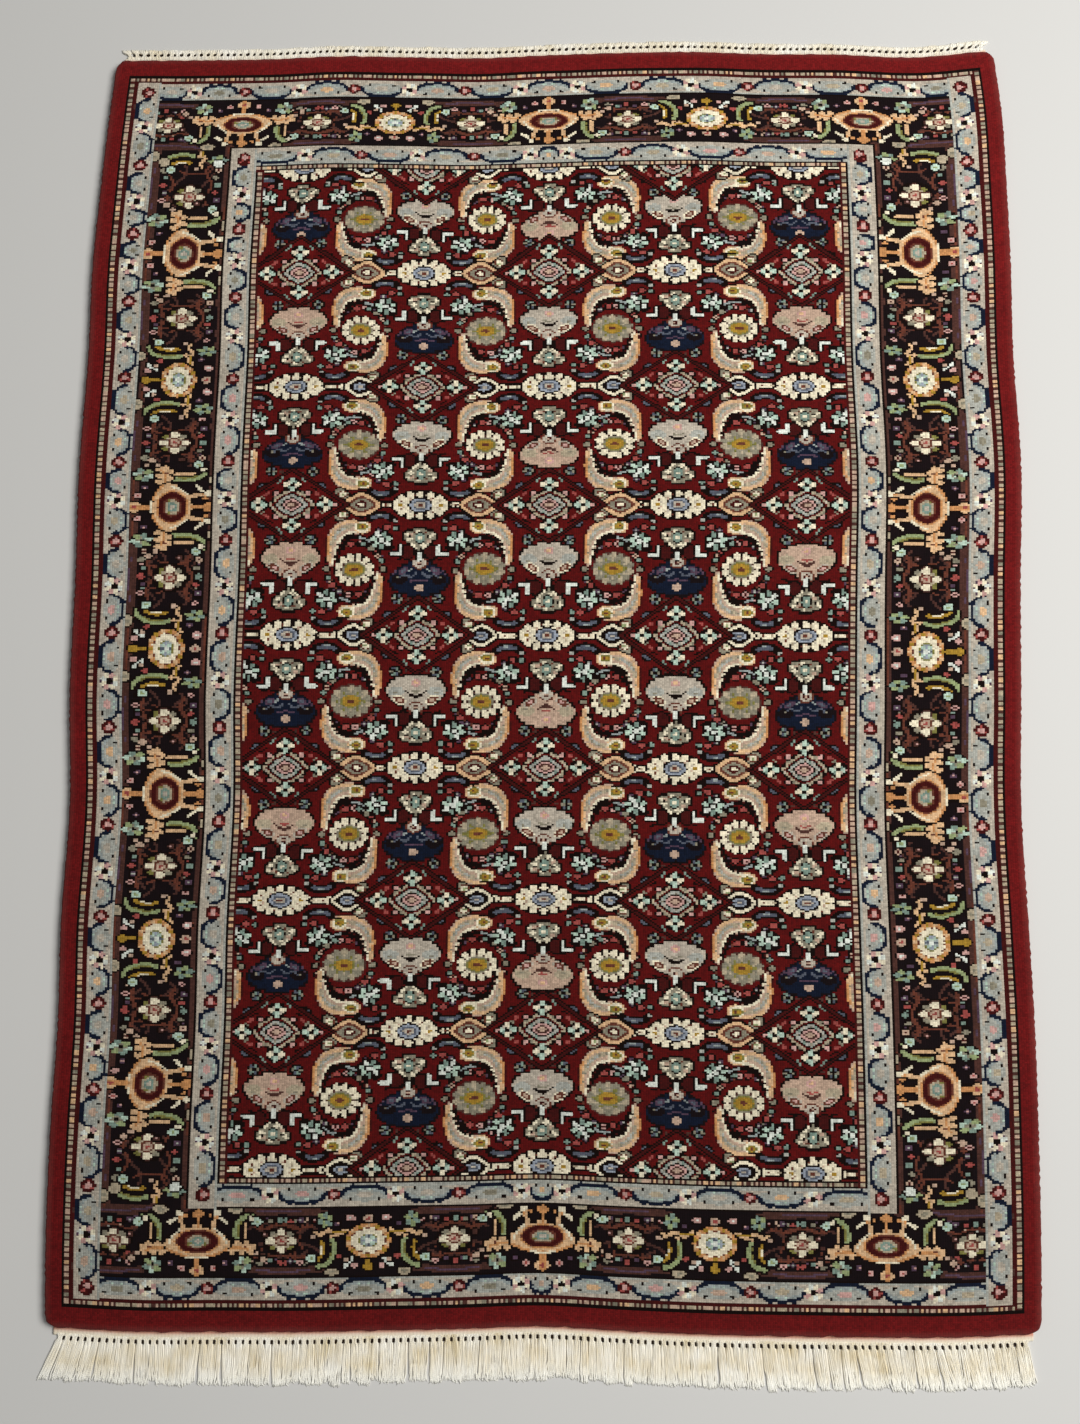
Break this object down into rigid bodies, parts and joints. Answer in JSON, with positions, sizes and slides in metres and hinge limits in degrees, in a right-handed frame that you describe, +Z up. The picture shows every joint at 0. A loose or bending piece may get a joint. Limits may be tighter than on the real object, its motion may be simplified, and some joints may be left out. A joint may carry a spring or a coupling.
{
  "type": "persian rug",
  "caption": "Rectangular hand-knotted wool rug lying flat, with an all-over flower and leaf pattern in borders, a knotted fringe at its near end and a short one at its far end.",
  "frame": {"origin": "on the floor under the middle of the rug with its fringes", "axes": "+X across the rug to the right, +Y along the rug towards its far end, which has the short fringe, +Z up out of the pile"},
  "size_m": [1.2642, 1.7968, 0.012],
  "materials": {
    "rug": "matt wool pile",
    "fringe": "matt cotton yarn"
  },
  "bodies": {
    "root": {"rug": "rug", "fringe_near": "fringe", "fringe_far": "fringe"}
  },
  "joints": []
}
